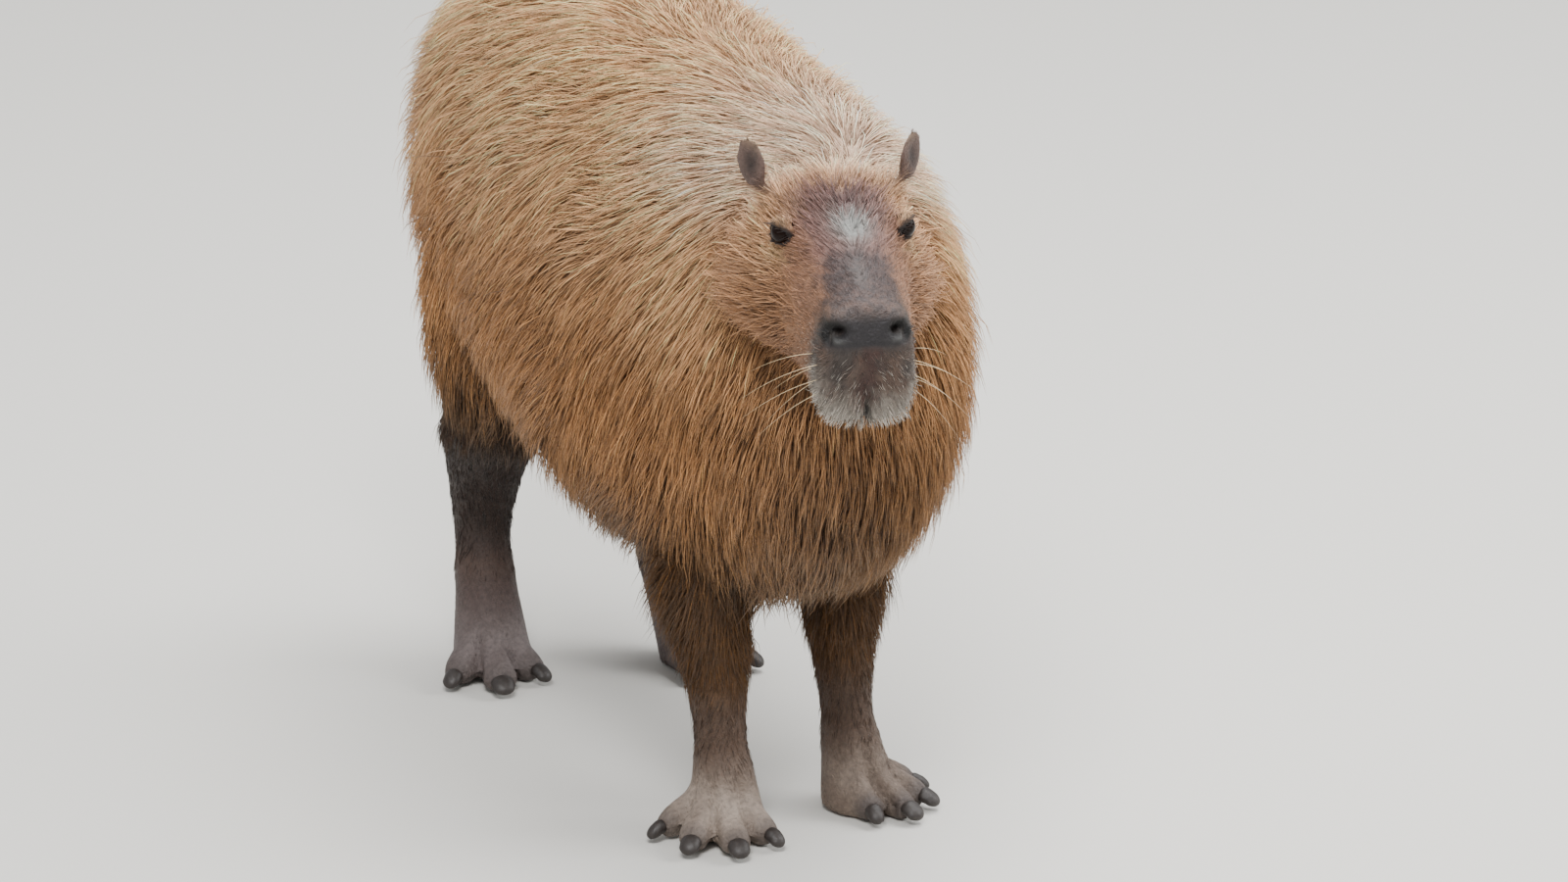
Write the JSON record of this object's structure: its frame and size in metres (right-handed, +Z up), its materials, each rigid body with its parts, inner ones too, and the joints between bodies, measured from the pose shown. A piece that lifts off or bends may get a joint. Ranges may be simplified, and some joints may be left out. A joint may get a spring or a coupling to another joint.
{
  "type": "capybara",
  "caption": "A life-size standing capybara with a long shaggy coat, its blunt head turned to its right, resting on its four paws; a still display model",
  "frame": {"origin": "on the floor under the middle of the whole animal's box", "axes": "+Z up, the animal faces -Y, its left side is at +X"},
  "size_m": [0.3434, 0.9842, 0.666],
  "materials": {
    "body_coat": "long coarse straight fur, dry and shaggy",
    "face_coat": "short dense fur",
    "leg_coat": "short fur lying flat",
    "ear_skin": "thin skin with sparse short hair",
    "foot_skin": "bare wrinkled skin, matte",
    "nose": "bare skin, slightly moist",
    "claw": "dull horn",
    "eye": "wet and glossy"
  },
  "bodies": {
    "root": {"rump": "body_coat", "barrel": "body_coat", "chest": "body_coat", "neck": "body_coat", "tail": "body_coat", "eye_right": "eye", "eye_left": "eye", "lower_jaw": "face_coat", "skull": "face_coat", "muzzle": "face_coat", "nose": "nose", "ear_right": "ear_skin", "ear_left": "ear_skin", "fore_right_forearm": "leg_coat", "fore_right_claw_inner": "claw", "fore_right_toe_inner": "foot_skin", "fore_right_claw_second": "claw", "fore_right_toe_second": "foot_skin", "fore_right_claw_third": "claw", "fore_right_toe_third": "foot_skin", "fore_right_claw_outer": "claw", "fore_right_toe_outer": "foot_skin", "fore_right_paw": "foot_skin", "fore_left_forearm": "leg_coat", "fore_left_claw_inner": "claw", "fore_left_toe_inner": "foot_skin", "fore_left_claw_second": "claw", "fore_left_toe_second": "foot_skin", "fore_left_claw_third": "claw", "fore_left_toe_third": "foot_skin", "fore_left_claw_outer": "claw", "fore_left_toe_outer": "foot_skin", "fore_left_paw": "foot_skin", "hind_right_thigh": "body_coat", "hind_right_shank": "leg_coat", "hind_right_claw_inner": "claw", "hind_right_toe_inner": "foot_skin", "hind_right_claw_middle": "claw", "hind_right_toe_middle": "foot_skin", "hind_right_claw_outer": "claw", "hind_right_toe_outer": "foot_skin", "hind_right_paw": "foot_skin", "hind_left_thigh": "body_coat", "hind_left_shank": "leg_coat", "hind_left_claw_inner": "claw", "hind_left_toe_inner": "foot_skin", "hind_left_claw_middle": "claw", "hind_left_toe_middle": "foot_skin", "hind_left_claw_outer": "claw", "hind_left_toe_outer": "foot_skin", "hind_left_paw": "foot_skin"}
  },
  "joints": []
}
